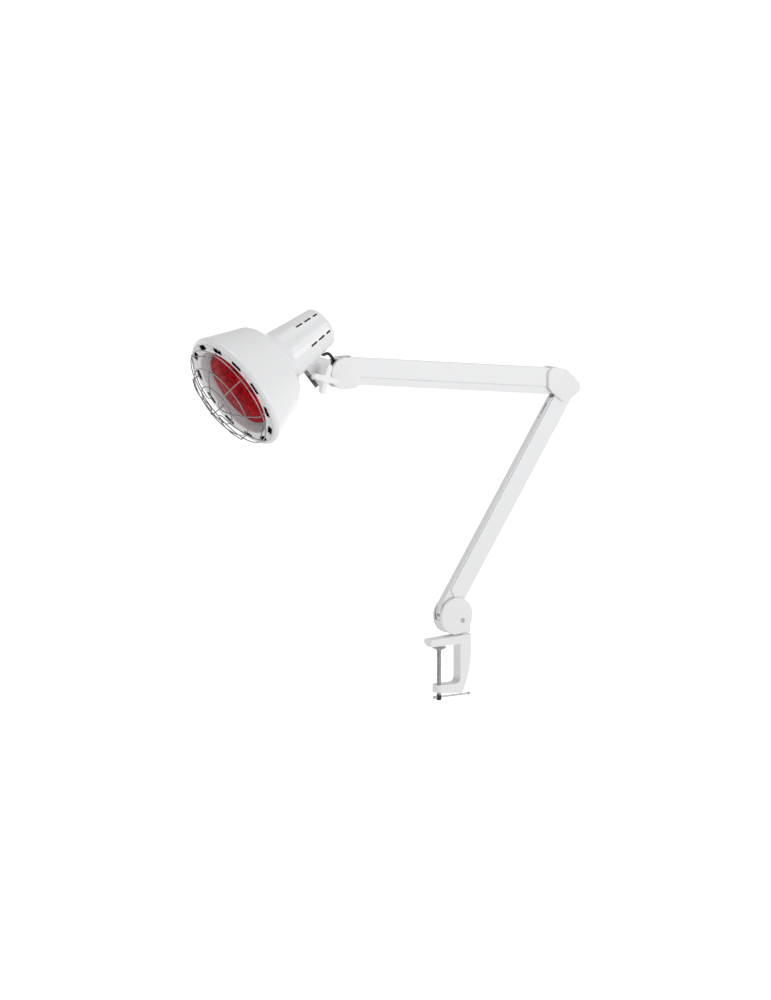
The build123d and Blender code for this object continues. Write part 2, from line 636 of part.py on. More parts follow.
def radius_at(depth):
    """The socket housing's outer radius at a depth behind its root."""
    share = (depth - SOCKET_DEPTH) / (HEAD_DEPTH - SOCKET_DEPTH)
    return SOCKET_R + share * (TAIL_R - SOCKET_R) + SHELL / 2


def ring_of(tool, count, first=0.0):
    return [Rot(0, 0, first + 360 / count * i) * tool for i in range(count)]


def cable_exit_cut():
    return Pos(PIVOT_DROP / 2, 0, LEAD_DEPTH) * Rot(0, 90, 0) * Cylinder(CABLE_R + 1.6, 20)


def shade():
    body = shell_of(
        [(RING_R + 0.3, SHELL / 2), (RIM_CORNER_R, SHELL / 2), (SHOULDER_R, SHOULDER_DEPTH),
         (SOCKET_R, SOCKET_DEPTH), (TAIL_R, HEAD_DEPTH), (TAIL_OPENING_R, HEAD_DEPTH)],
        [5.3, 20.0, 10.0, 5.0], SHELL,
    )
    for depth, length in SLOT_ROWS:
        slit = Pos(radius_at(depth), 0, depth) * Box(24, SLOT_WIDTH, length)
        for cut in ring_of(slit, 6, 30.0):
            body -= cut
    return body - cable_exit_cut()


def reflector():
    body = shell_of(
        [(RING_R, SHELL / 2), (MOUTH_R, SHELL / 2), (64.0, 42.0), (46.0, 86.0)], [2.0, 40.0], SHELL)
    vent = extrude(fillet(Rectangle(*VENT_SIZE).vertices(), 2.5), 4, both=True)
    for cut in ring_of(Pos(VENT_CIRCLE_R, 0, 0) * vent, VENTS, 180 / VENTS):
        body -= cut
    return body


def lamp():
    """The bulb's blown glass: a shallow domed lens, a conical back and an open neck."""
    outside = make_face(
        Curve()
        + ThreePointArc((0, 1.5), (31, 3.6), (LAMP_R - 3, 9.0))
        + ThreePointArc((LAMP_R - 3, 9.0), (LAMP_R - 0.6, 11.0), (LAMP_R, 14.5))
        + ThreePointArc((LAMP_R, 14.5), (48.0, 56.0), (21.0, 92.0))
        + Polyline((21.0, 92.0), (BULB_NECK_R, BULB_DEPTH), (0, BULB_DEPTH))
        + Line((0, BULB_DEPTH), (0, 1.5))
    )
    outside += mirror(outside, about=Plane.YZ)
    inside = offset(outside, -GLASS) + Pos(0, BULB_DEPTH) * Rectangle(2 * (BULB_NECK_R - GLASS), 12)
    wall = (outside - inside) & Pos(0, BULB_DEPTH / 2) * Rectangle(
        2 * LAMP_R, 2 * BULB_DEPTH, align=(Align.MIN, Align.CENTER))
    return revolve(Plane.XZ * wall, Axis.Z)


def guard_wire():
    """The wire guard: three rings, and four hairpin wires that lie on them and hook behind the ring."""
    centre = GUARD_SPHERE_R - GUARD_HEIGHT
    rings = (33.0, 59.0, 82.0)
    leg = rings[-1] - 2 * GUARD_WIRE_R - 0.25
    knots = [(r, centre - sqrt(GUARD_SPHERE_R**2 - r**2)) for r in (leg, 60.0, 38.0, 0.0)]

    def place(radius, depth, angle):
        return (radius * cos(radians(angle)), radius * sin(radians(angle)), depth)

    def depth_on_wire(radius):
        for (r1, d1), (r0, d0) in zip(knots, knots[1:]):
            if r0 <= radius <= r1:
                return d0 + (d1 - d0) * (radius - r0) / (r1 - r0)
        return knots[0][1] + 3.0

    wires = [
        Pos(0, 0, depth_on_wire(r) + 2 * GUARD_WIRE_R + 0.25) * Torus(r, GUARD_WIRE_R) for r in rings
    ]
    foot = SHELL + GUARD_WIRE_R + 0.25
    for first in range(60, 420, 90):
        second = first + 45
        points = [place(MOUTH_R - 4.5, foot + 0.7, first)]
        points += [place(r, d, first) for r, d in knots]
        points += [place(r, d, second) for r, d in knots[-2::-1]]
        points += [place(leg, foot, second), place(RING_R - 0.5, foot, second)]
        path = FilletPolyline(*points, radius=[3.0, 60.0, 60.0, 9.2, 60.0, 60.0, 3.0, 2.0])
        pen = Plane(origin=path @ 0, z_dir=path % 0) * Circle(GUARD_WIRE_R)
        wires.append(sweep(pen, path=path))
    return wires


def tilt_bracket():
    """A folded bracket: two ears joined by a short front web, on a saddle that fits the housing."""
    front, back, slope = PIVOT_DEPTH - 12.9, 144.0, 0.16
    low_end = PIVOT_DROP + 18.0
    foot = (33.0, front)
    toe = (low_end, front + slope * (low_end - foot[0]))
    ear = outline(
        foot, toe, (low_end, toe[1] + 5.0), (PIVOT_DROP + 6, PIVOT_DEPTH + 9.5), (50, 161), (30, back))
    ear = fillet(ear.vertices().filter_by(lambda v: v.X > 45 and v.Y > toe[1] + 1), 4.0)
    ear = extrude(Plane.XZ * ear, amount=EAR_OUTSIDE, both=True)
    hollow = outline(
        (20, front + EAR_THICKNESS - slope * 13), (90, front + EAR_THICKNESS + slope * 57), (90, 180), (20, 180))
    hollow += Pos(PIVOT_DROP - 8, 0) * Rectangle(60, 400, align=(Align.MIN, Align.CENTER))
    hollow = extrude(Plane.XZ * hollow, amount=EAR_INSIDE, both=True)
    bore = turned_solid(
        (0, SOCKET_DEPTH), (radius_at(SOCKET_DEPTH) + SEAT, SOCKET_DEPTH),
        (radius_at(HEAD_DEPTH) + SEAT, HEAD_DEPTH), (0, HEAD_DEPTH))
    saddle_outside = turned_solid(
        (0, SOCKET_DEPTH), (radius_at(SOCKET_DEPTH) + 2, SOCKET_DEPTH),
        (radius_at(HEAD_DEPTH) + 2, HEAD_DEPTH), (0, HEAD_DEPTH))
    saddle = saddle_outside & Pos(20, 0, front) * Box(
        40, 2 * EAR_OUTSIDE, back - front, align=(Align.MIN, Align.CENTER, Align.MIN))
    body = ear - hollow + saddle - bore
    return body - Pos(PIVOT_DROP, 0, PIVOT_DEPTH) * Rot(90, 0, 0) * Cylinder(TILT_BOLT_R + SEAT, 60)


def across(radius, low, high, sides=0):
    """A rod across the head at the tilt pivot, low and high measured towards the far side."""
    base = RegularPolygon(radius, sides) if sides else Circle(radius)
    return Pos(PIVOT_DROP, low, PIVOT_DEPTH) * Rot(-90, 0, 0) * extrude(base, high - low)


def knob():
    lobes = Circle(8.0)
    lobe = hull(Circle(KNOB_LOBE_R + 0.4), Pos(KNOB_R - KNOB_LOBE_R, 0) * Circle(KNOB_LOBE_R))
    for i in range(4):
        lobes += Rot(0, 0, KNOB_ANGLE + 90 * i) * lobe
    lobes = fillet(lobes.vertices(), 3.0)
    body = extrude(lobes, KNOB_THICKNESS)
    body = fillet(body.faces().sort_by(Axis.Z)[-1].edges(), 1.5)
    hub = Pos(0, 0, -(KNOB_FACE - KNOB_THICKNESS - EAR_OUTSIDE - 0.3)) * Cylinder(
        6.5, KNOB_FACE - KNOB_THICKNESS - EAR_OUTSIDE,
        align=(Align.CENTER, Align.CENTER, Align.MIN))
    body = body + hub - Pos(0, 0, -30) * Cylinder(
        TILT_BOLT_R + RUNNING, 30 + KNOB_THICKNESS - 2, align=(Align.CENTER, Align.CENTER, Align.MIN))
    return Pos(PIVOT_DROP, KNOB_THICKNESS - KNOB_FACE, PIVOT_DEPTH) * Rot(90, 0, 0) * body


HOLDER_PLATE = 160.5
CAP_FACE = HEAD_DEPTH + SHELL / 2
save("shade", head_frame * shade())
save("reflector", head_frame * reflector())
save("lamp_glass", head_frame * lamp())
save("wire_guard", *[head_frame * wire for wire in guard_wire()])
save("lamp_base", head_frame * turned_solid(
    (0, BULB_DEPTH + 0.05), (BULB_NECK_R, BULB_DEPTH + 0.05), (13.2, BULB_DEPTH + 3),
    (13.2, 130.0), (8.0, 134.0), (0, 134.0)))
holder = turned_solid(
    (13.7, 111.0), (20.0, 111.0), (21.0, 130.0), (18.0, HOLDER_PLATE - 0.05),
    (0, HOLDER_PLATE - 0.05), (0, 134.3), (13.7, 134.3))
save("lampholder", head_frame * holder)
strap = turned_solid(
    (4, HOLDER_PLATE), (radius_at(HOLDER_PLATE + 1.6) - SHELL - 0.25, HOLDER_PLATE),
    (radius_at(HOLDER_PLATE + 1.6) - SHELL - 0.25, HOLDER_PLATE + 1.5), (4, HOLDER_PLATE + 1.5))
strap &= Pos(0, 0, HOLDER_PLATE) * Box(80, 24, 10)
save("lampholder_bracket", head_frame * strap)
save("terminal_block", head_frame * (Pos(0, 0, HOLDER_PLATE + 1.6) * Box(
    14, 10, 6, align=(Align.CENTER, Align.CENTER, Align.MIN))))
save("rear_cap", head_frame * (turned_solid(
    (9.7, 171.0), (TAIL_OPENING_R - 0.3, 171.0), (TAIL_OPENING_R - 0.3, CAP_FACE + 0.05),
    (TAIL_OPENING_R + 2.5, CAP_FACE + 0.05), (TAIL_OPENING_R + 1.5, CAP_FACE + 1.6), (9.7, CAP_FACE + 1.6))))
switch = turned_solid(
    (0, 169.0), (9.6, 169.0), (9.6, CAP_FACE + 1.65), (11.0, CAP_FACE + 1.65),
    (10.4, CAP_FACE + 3.0), (0, CAP_FACE + 3.0))
switch -= Pos(0, 0, CAP_FACE - 4) * Box(14.4, 9.4, 20, align=(Align.CENTER, Align.CENTER, Align.MIN))
save("switch_body", head_frame * switch)
rocker = Rot(90, 0, 0) * extrude(
    outline((-6.2, -2.4), (6.2, -2.4), (6.8, 2.2), (0, 1.4), (-6.8, 2.2)), 4.5, both=True)
rocker -= Rot(90, 0, 0) * Cylinder(0.7 + RUNNING, 20)
ROCKER_TILT = 10.0
save("switch_rocker", head_frame * (
    Pos(0, 0, CAP_FACE + 1.4) * Rot(0, ROCKER_TILT, 0) * rocker))
save("switch_pin", head_frame * (Pos(0, 0, CAP_FACE + 1.4) * Rot(90, 0, 0) * Cylinder(0.7, 9.3)))
save("tilt_bracket", head_frame * tilt_bracket())
save("tilt_bolt", head_frame * (
    across(TILT_BOLT_R, -KNOB_FACE + 3, EAR_OUTSIDE + 4) + across(5.5, EAR_OUTSIDE + 0.05, EAR_OUTSIDE + 4.0, 6)))
washer = across(TILT_EYE_R, TONGUE_HALF + 0.05, EAR_INSIDE - 0.05) - across(TILT_BOLT_R + SEAT, -20, 20)
save("friction_washers", head_frame * washer, head_frame * mirror(washer, about=Plane.XZ))
save("tilt_knob", head_frame * knob())
screw = Rot(0, 90, 0) * Cylinder(2.6, 1.4, align=(Align.CENTER, Align.CENTER, Align.MIN))
save("bracket_screws", *[
    head_frame * (Pos(radius_at(d) + 2.4, 0, d) * screw) for d in (125.0, 139.0)])


# ---------------------------------------------------------------- lead
def world(depth, drop):
    return moved(face_centre, (depth * cos(tilt), depth * sin(tilt)), (drop * sin(tilt), -drop * cos(tilt)))


grommet = Pos(radius_at(LEAD_DEPTH) - SHELL - 1.0, 0, LEAD_DEPTH) * Rot(0, 90, 0) * turned_solid(
    (CABLE_R + SEAT, 0), (CABLE_R + 1.4, 0), (CABLE_R + 1.4, 3.0), (CABLE_R + 2.2, 3.1),
    (CABLE_R + 1.6, 4.4), (CABLE_R + SEAT, 4.4))
save("lead_grommet", head_frame * grommet)
lead_points = [
    world(LEAD_DEPTH, radius_at(LEAD_DEPTH) - 2.7), world(LEAD_DEPTH, radius_at(LEAD_DEPTH) + 6.3),
    *[moved(TILT_PIVOT, step) for step in (
        (20.3, 34.0), (27.5, 27.0), (31.8, 18.5), (29.0, 12.4), (21.5, 12.6), (SWIVEL_REACH, 12.4),
        (SWIVEL_REACH, 2.4))],
]


def arc_radius(before, corner, after):
    """The bend at a corner of the lead: 0.45 of the shorter run, over the tangent of half the turn."""
    runs = [relative(corner, before), relative(after, corner)]
    angles = [atan2(run[1], run[0]) for run in runs]
    turn = abs((angles[1] - angles[0] + pi) % (2 * pi) - pi)
    return 0.45 * min(hypot(*run) for run in runs) / tan(turn / 2)


lead_radii = [arc_radius(*three) for three in zip(lead_points, lead_points[1:], lead_points[2:])]
print("lead points", [(round(x, 2), round(z, 2)) for x, z in lead_points])
print("lead arc radii", [round(radius, 2) for radius in lead_radii])
path = FilletPolyline(*[(x, 0, z) for x, z in lead_points], radius=lead_radii)
pen = Plane(origin=path @ 0, z_dir=path % 0) * Circle(CABLE_R)
lead = sweep(pen, path=path)
print("lead volume", round(lead.volume, 2), "section x length", round(3.14159265 * CABLE_R**2 * path.length, 2))
save("head_lead", lead)
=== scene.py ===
import json
import math

import bmesh
import bpy
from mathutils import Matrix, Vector


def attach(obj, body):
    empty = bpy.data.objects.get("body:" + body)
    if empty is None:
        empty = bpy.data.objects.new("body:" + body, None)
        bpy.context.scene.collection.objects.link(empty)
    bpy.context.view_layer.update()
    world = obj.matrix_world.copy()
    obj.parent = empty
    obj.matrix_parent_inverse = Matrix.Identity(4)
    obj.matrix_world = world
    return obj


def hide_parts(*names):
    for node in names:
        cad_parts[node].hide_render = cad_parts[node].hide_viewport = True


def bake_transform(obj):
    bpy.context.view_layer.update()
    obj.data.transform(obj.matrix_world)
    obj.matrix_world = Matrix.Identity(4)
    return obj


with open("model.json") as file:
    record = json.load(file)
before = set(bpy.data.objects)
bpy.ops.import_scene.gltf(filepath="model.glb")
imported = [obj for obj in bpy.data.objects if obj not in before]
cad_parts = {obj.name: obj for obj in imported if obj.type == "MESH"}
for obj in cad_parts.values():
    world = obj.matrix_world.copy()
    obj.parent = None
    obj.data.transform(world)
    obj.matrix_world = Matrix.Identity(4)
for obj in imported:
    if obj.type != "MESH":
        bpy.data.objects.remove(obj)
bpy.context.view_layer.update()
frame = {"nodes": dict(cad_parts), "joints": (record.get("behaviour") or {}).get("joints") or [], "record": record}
MM = 0.001


# ---------------------------------------------------------------- places taken from the frame
JOINTS = {joint["name"]: joint for joint in frame["joints"]}


def pivot(joint):
    return Vector(JOINTS[joint]["pos_m"])


# the lamp head's own frame, in millimetres: x below its axis, y across, z behind the front ring
HEAD_TILT = math.radians(29.8)
PIVOT_DEPTH, PIVOT_DROP = 130.9, 60.3
HEAD_BACK = Vector((math.cos(HEAD_TILT), 0, math.sin(HEAD_TILT)))
HEAD_DOWN = Vector((math.sin(HEAD_TILT), 0, -math.cos(HEAD_TILT)))
ACROSS = Vector((0, 1, 0))
RING_CENTRE = pivot("head_tilt") - (HEAD_BACK * PIVOT_DEPTH + HEAD_DOWN * PIVOT_DROP) * MM


def in_head(x, y, z):
    """A place in the lamp head's frame, as a row-frame point in metres."""
    return RING_CENTRE + (HEAD_DOWN * x + ACROSS * y + HEAD_BACK * z) * MM


# the arms: degrees up from +X, and millimetres between an arm's pivots
LOWER_DIRECTION, UPPER_DIRECTION = 56.6, 172.67
LOWER_REACH, UPPER_REACH = 390.0, 387.5
# the outer channel's folded edge, and the inner channel's web and half width, in millimetres
CHANNEL_EDGE = 20.4
LOWER_WEB, INNER_HALF = 22.6, 5.9


def arm_left(direction):
    """The direction to the left of an arm, seen from the near side."""
    turn = math.radians(direction)
    return Vector((-math.sin(turn), 0, math.cos(turn)))


def arm_along(direction):
    """The direction from an arm's lower pivot to its upper one."""
    turn = math.radians(direction)
    return Vector((math.cos(turn), 0, math.sin(turn)))


def in_arm(joint, direction, x, y):
    """A place in an arm's middle plane: x along it from its lower pivot, y to its left."""
    return pivot(joint) + (arm_along(direction) * x + arm_left(direction) * y) * MM


def upright(x, y, z):
    """A place in the row frame, given in millimetres."""
    return Vector((x, y, z)) * MM


# ---------------------------------------------------------------- mesh helpers
# a point this near to the axis is on it, in millimetres; and the steps between a curve's points
ON_AXIS = 1e-6
LINE_RESOLUTION = 24


def mesh_piece(name, points, faces, smooth=True):
    """An object made of points and faces, with its normals outwards."""
    mesh = bpy.data.meshes.new(name)
    mesh.from_pydata([tuple(p) for p in points], [], faces)
    mesh.validate()
    bm = bmesh.new()
    bm.from_mesh(mesh)
    bmesh.ops.recalc_face_normals(bm, faces=bm.faces)
    bm.to_mesh(mesh)
    bm.free()
    for face in mesh.polygons:
        face.use_smooth = smooth
    piece = bpy.data.objects.new(name, mesh)
    bpy.context.scene.collection.objects.link(piece)
    return piece


def lathe_mesh(profile, place, segments, closed=True):
    """Points and faces of a spun solid. profile is (radius, depth) pairs; place(x, y, z) sets them."""
    points, faces, rings = [], [], []
    for radius, depth in profile:
        if radius < ON_AXIS:
            rings.append([len(points)])
            points.append(place(0, 0, depth))
            continue
        rings.append(list(range(len(points), len(points) + segments)))
        for i in range(segments):
            turn = math.tau * i / segments
            points.append(place(radius * math.cos(turn), radius * math.sin(turn), depth))
    pairs = list(zip(rings, rings[1:] + rings[:1])) if closed else list(zip(rings, rings[1:]))
    for low, high in pairs:
        if len(low) == 1 and len(high) == 1:
            continue  # two points on the axis have no face between them
        for i in range(segments):
            j = (i + 1) % segments
            corners = [low[i % len(low)], low[j % len(low)], high[j % len(high)], high[i % len(high)]]
            faces.append(list(dict.fromkeys(corners)))
    return points, faces


def ring_faces(rings, sides):
    """Faces of a solid made of rings of points one after another, with its ends closed."""
    faces = []
    for low in range(0, (rings - 1) * sides, sides):
        high = low + sides
        for k in range(sides):
            n = (k + 1) % sides
            faces.append([low + k, low + n, high + n, high + k])
    faces.append(list(range(sides))[::-1])
    faces.append([(rings - 1) * sides + k for k in range(sides)])
    return faces


def tube_mesh(path, radius, sides):
    """Points and faces of a round tube along a row of points, with its ends closed."""
    path = [Vector(p) for p in path]
    last = len(path) - 1

    def tangent(i):
        return (path[min(i + 1, last)] - path[max(i - 1, 0)]).normalized()

    normal = tangent(0).orthogonal().normalized()
    points = []
    for i, centre in enumerate(path):
        along = tangent(i)
        normal = (normal - along * normal.dot(along)).normalized()
        side = along.cross(normal)
        for k in range(sides):
            turn = math.tau * k / sides
            points.append(centre + (normal * math.cos(turn) + side * math.sin(turn)) * radius)
    return points, ring_faces(len(path), sides)


def joined(*parts):
    """Several (points, faces) pairs as one."""
    points, faces = [], []
    for more_points, more_faces in parts:
        start = len(points)
        points += more_points
        faces += [[i + start for i in face] for face in more_faces]
    return points, faces


def nurbs_line(points):
    """The points of a smooth order-3 line that starts and ends at the route's own ends."""
    curve = bpy.data.curves.new("route", "CURVE")
    curve.dimensions = "3D"
    spline = curve.splines.new("NURBS")
    spline.points.add(len(points) - 1)
    for point, place in zip(spline.points, points):
        point.co = (*place, 1)
    spline.order_u = 3
    spline.use_endpoint_u = True
    curve.resolution_u = LINE_RESOLUTION
    holder = bpy.data.objects.new("route", curve)
    bpy.context.scene.collection.objects.link(holder)
    line = bpy.data.meshes.new_from_object(holder)
    places = [v.co.copy() for v in line.vertices]
    bpy.data.objects.remove(holder)
    bpy.data.meshes.remove(line)
    bpy.data.curves.remove(curve)
    return places


# ---------------------------------------------------------------- shader nodes
# a Mix node's colour sockets, which share their names with its other ones
MIX_FIRST, MIX_SECOND, MIX_RESULT = 6, 7, 2
MAP_LIMITS = ("From Min", "From Max", "To Min", "To Max")


def add_node(tree, kind, inputs, **settings):
    """A new node. inputs gives its sockets, by name or number, a value or another node's output."""
    node = tree.nodes.new(kind)
    for name, value in settings.items():
        setattr(node, name, value)
    for socket, value in inputs.items():
        if isinstance(value, bpy.types.NodeSocket):
            tree.links.new(value, node.inputs[socket])
        else:
            node.inputs[socket].default_value = value
    return node


def where_on(tree, output="Object"):
    """A place on the piece in its own coordinates, or another of the coordinates node's outputs."""
    return tree.nodes.new("ShaderNodeTexCoord").outputs[output]


def maths(tree, operation, *values):
    return add_node(tree, "ShaderNodeMath", dict(enumerate(values)), operation=operation).outputs[0]


def vector_maths(tree, operation, *values):
    """The result of a vector operation, which is a plain value for some."""
    node = add_node(tree, "ShaderNodeVectorMath", dict(enumerate(values)), operation=operation)
    return node.outputs["Value" if operation in ("DOT_PRODUCT", "LENGTH") else "Vector"]


def spread(tree, source, *limits):
    """Maps a value from one range to another, or to 0 and 1."""
    node = add_node(tree, "ShaderNodeMapRange", {"Value": source, **dict(zip(MAP_LIMITS, limits))})
    return node.outputs["Result"]


def noise(tree, scale, detail=3.0):
    """A noise in the piece's own coordinates. scale is in features per metre."""
    inputs = {"Vector": where_on(tree), "Scale": scale, "Detail": detail}
    return add_node(tree, "ShaderNodeTexNoise", inputs).outputs["Fac"]


def ramp(tree, source, low, high, first=0.35, last=0.65):
    """Maps a factor to a range of colours or of greys."""
    node = add_node(tree, "ShaderNodeValToRGB", {"Fac": source})
    for stop, position, value in zip(node.color_ramp.elements, (first, last), (low, high)):
        stop.position = position
        stop.color = (*value, 1) if isinstance(value, tuple) else (value, value, value, 1)
    return node.outputs["Color"]


def mixed(tree, factor, first, second):
    """A colour that goes from first to second by a factor; each is a colour or a socket."""
    first, second = (
        end if isinstance(end, bpy.types.NodeSocket) else (*end, 1) for end in (first, second))
    inputs = {"Factor": factor, MIX_FIRST: first, MIX_SECOND: second}
    return add_node(tree, "ShaderNodeMix", inputs, data_type="RGBA").outputs[MIX_RESULT]


def plug(tree, source, socket):
    tree.links.new(source, tree.nodes["Principled BSDF"].inputs[socket])


def bump(tree, source, height, strength):
    inputs = {"Height": source, "Distance": height, "Strength": strength}
    plug(tree, add_node(tree, "ShaderNodeBump", inputs).outputs["Normal"], "Normal")


def between(tree, origin, direction, low, high):
    """1 where a place lies between two distances (in mm) from an origin, along a direction."""
    offset = vector_maths(tree, "SUBTRACT", where_on(tree), tuple(origin))
    distance = vector_maths(tree, "DOT_PRODUCT", offset, tuple(direction))
    return maths(tree, "COMPARE", distance, (low + high) / 2 * MM, (high - low) / 2 * MM)


def housing_shade_mask(tree, shaded_face):
    """1 on the faces of a spun shell that look into the housing, where shade is painted, 0 on those that look out
    of it.
    """
    offset = vector_maths(tree, "SUBTRACT", where_on(tree), tuple(RING_CENTRE))
    along = vector_maths(tree, "PROJECT", offset, tuple(HEAD_BACK))
    radial = vector_maths(tree, "NORMALIZE", vector_maths(tree, "SUBTRACT", offset, along))
    facing = vector_maths(tree, "DOT_PRODUCT", radial, where_on(tree, "Normal"))
    if shaded_face == "outer face":
        return spread(tree, facing, *FACING_LIMITS)
    # the cut walls of the cooling slots get the same painted shade as the inside
    slots = between(tree, RING_CENTRE, HEAD_BACK, *COOLING_SLOTS)
    facing = maths(tree, "MULTIPLY_ADD", slots, -SLOT_WALL_SHARE, facing)
    return spread(tree, facing, *(-limit for limit in FACING_LIMITS))


# ---------------------------------------------------------------- materials
# how far a shell's face has to look outwards or inwards to take the painted shade: from none of it to all of it
FACING_LIMITS = (0.24, 0.32)
# the depths between which the shade has its cooling slots, and how much their walls count as the inside that is
# painted dark as shade
COOLING_SLOTS = (128.0, 173.0)
SLOT_WALL_SHARE = 0.6
WHITE = (0.87, 0.875, 0.885)
# the grey of the bracket's ears, and the painted shade on its faces between them
BRACKET_GREY, BRACKET_PAINTED_SHADE = (0.7, 0.7, 0.71), (0.13, 0.13, 0.135)
# painted shadow and shade: a grey line under a fold, the dark inside of a channel, and the near black inside of
# the head's housing
FOLD_PAINTED_SHADOW, CHANNEL_PAINTED_SHADE, HOUSING_PAINTED_SHADE = (0.6, 0.6, 0.61), (0.15, 0.15, 0.152), (0.03, 0.03, 0.032)


def material(name, colour, roughness, metallic=0.0, **sockets):
    """A Principled material. Fixed values go straight onto the shader's own sockets."""
    made = bpy.data.materials.new(name)
    made.use_nodes = True
    shader = made.node_tree.nodes["Principled BSDF"]
    shader.inputs["Base Color"].default_value = (*colour, 1)
    shader.inputs["Roughness"].default_value = roughness
    shader.inputs["Metallic"].default_value = metallic
    for socket, value in sockets.items():
        shader.inputs[socket.replace("_", " ")].default_value = value
    return made


def scaled(colour, share):
    """A darker shade of a colour."""
    return tuple(c * share for c in colour)


def enamel(name, colour, roughness=0.24, peel=0.00003, painted_shade_face=None, shadow_band=None, shaded_hollow=None):
    """Stoved white enamel: a slight orange peel and faint changes of gloss and warmth.

    The last three arguments paint shade: one names the face of a spun shell that looks into the housing, painted
    near black;
    one a thin grey line painted along a folded edge as its shadow; one the three bands that bound a channel's
    inside behind its slot, painted dark.
    """
    made = material(name, colour, roughness, Coat_Weight=0.25, Coat_Roughness=0.08)
    tree = made.node_tree
    tint = ramp(tree, noise(tree, 9), scaled(colour, 0.985), colour, 0.2, 0.8)
    if shadow_band is not None:
        # painted shadow: a grey line along the fold
        tint = mixed(tree, between(tree, *shadow_band), tint, FOLD_PAINTED_SHADOW)
    if shaded_hollow is not None:
        # painted shade: the channel's inside behind its slot goes dark
        depth, width, length = (between(tree, *one) for one in shaded_hollow)
        within = maths(tree, "MULTIPLY", maths(tree, "MULTIPLY", depth, width), length)
        tint = mixed(tree, within, tint, CHANNEL_PAINTED_SHADE)
    # painted shade: the faces that look into the head's housing go near black
    if painted_shade_face is not None:
        tint = mixed(tree, housing_shade_mask(tree, painted_shade_face), tint, HOUSING_PAINTED_SHADE)
    plug(tree, tint, "Base Color")
    plug(tree, ramp(tree, noise(tree, 30), roughness - 0.01, roughness + 0.02, 0.2, 0.8), "Roughness")
    bump(tree, noise(tree, 700, 2), peel, 0.35)
    return made


def moulded(name, colour, roughness=0.32):
    """Moulded plastic with a very fine spark texture and soft flow marks."""
    made = material(name, colour, roughness, IOR=1.47)
    tree = made.node_tree
    plug(tree, ramp(tree, noise(tree, 16), scaled(colour, 0.97), colour), "Base Color")
    plug(tree, ramp(tree, noise(tree, 60), roughness - 0.05, roughness + 0.06), "Roughness")
    bump(tree, noise(tree, 2600, 1), 0.00001, 0.3)
    return made


def steel(name, colour, roughness):
    """Bare or plated steel, a little uneven in its colour and gloss."""
    made = material(name, colour, roughness, metallic=1.0)
    tree = made.node_tree
    plug(tree, ramp(tree, noise(tree, 300, 4), scaled(colour, 0.8), colour), "Base Color")
    plug(tree, ramp(tree, noise(tree, 180), roughness - 0.06, roughness + 0.1), "Roughness")
    bump(tree, noise(tree, 600, 2), 0.00001, 0.3)
    return made


def folded_bracket():
    """The tilt bracket: light grey paint outside its ears, and painted shade on its faces between them."""
    made = material("bracket_enamel", BRACKET_GREY, 0.35, Coat_Weight=0.15, Coat_Roughness=0.15)
    tree = made.node_tree
    place, normal = (
        add_node(tree, "ShaderNodeSeparateXYZ", {0: where_on(tree, output)}).outputs["Y"]
        for output in ("Object", "Normal"))
    # an ear's outer face looks away from the middle plane; every other face gets the painted shade
    outward = spread(tree, maths(tree, "MULTIPLY", place, normal), 0.001, 0.003)
    grey = ramp(tree, noise(tree, 40), BRACKET_GREY, (0.76, 0.76, 0.77))
    plug(tree, mixed(tree, outward, BRACKET_PAINTED_SHADE, grey), "Base Color")
    plug(tree, ramp(tree, noise(tree, 90), 0.3, 0.42), "Roughness")
    bump(tree, noise(tree, 800, 2), 0.00003, 0.4)
    return made


def stippled_glass():
    """The bulb's ruby glass: pebbled on its face, with red that goes darker and lighter at random as a painted
    reflection of its silvered back.
    """
    made = material("ruby_glass", (0.6, 0.002, 0.008), 0.07, Transmission_Weight=0.4, IOR=1.07)
    tree = made.node_tree
    # painted reflection: the darker and lighter red stands in for the silvered back seen through the pebbled face
    reflection_mottle = ramp(tree, noise(tree, 130, 4), (0.26, 0.0, 0.003), (0.85, 0.004, 0.02), 0.35, 0.7)
    plug(tree, reflection_mottle, "Base Color")
    inputs = {"Vector": where_on(tree), "Scale": 330, "Smoothness": 0.8}
    pebbles = add_node(tree, "ShaderNodeTexVoronoi", inputs, feature="SMOOTH_F1")
    bump(tree, pebbles.outputs["Distance"], 0.0004, 0.25)
    return made


def silvered_glass():
    """The back of the bulb: glass with a mirror coat inside, seen through it."""
    made = material("aluminised_glass", (0.75, 0.75, 0.76), 0.16, metallic=1.0)
    tree = made.node_tree
    plug(tree, ramp(tree, noise(tree, 60, 4), (0.66, 0.66, 0.67), (0.8, 0.8, 0.81)), "Base Color")
    plug(tree, ramp(tree, noise(tree, 120), 0.1, 0.26), "Roughness")
    bump(tree, noise(tree, 260, 2), 0.0002, 0.4)
    return made


def clear_glass():
    """The glass of the bulb's stem, a little uneven."""
    made = material("clear_glass", (0.95, 0.96, 0.96), 0.03, Transmission_Weight=1.0, IOR=1.5)
    bump(made.node_tree, noise(made.node_tree, 300, 2), 0.0001, 0.3)
    return made


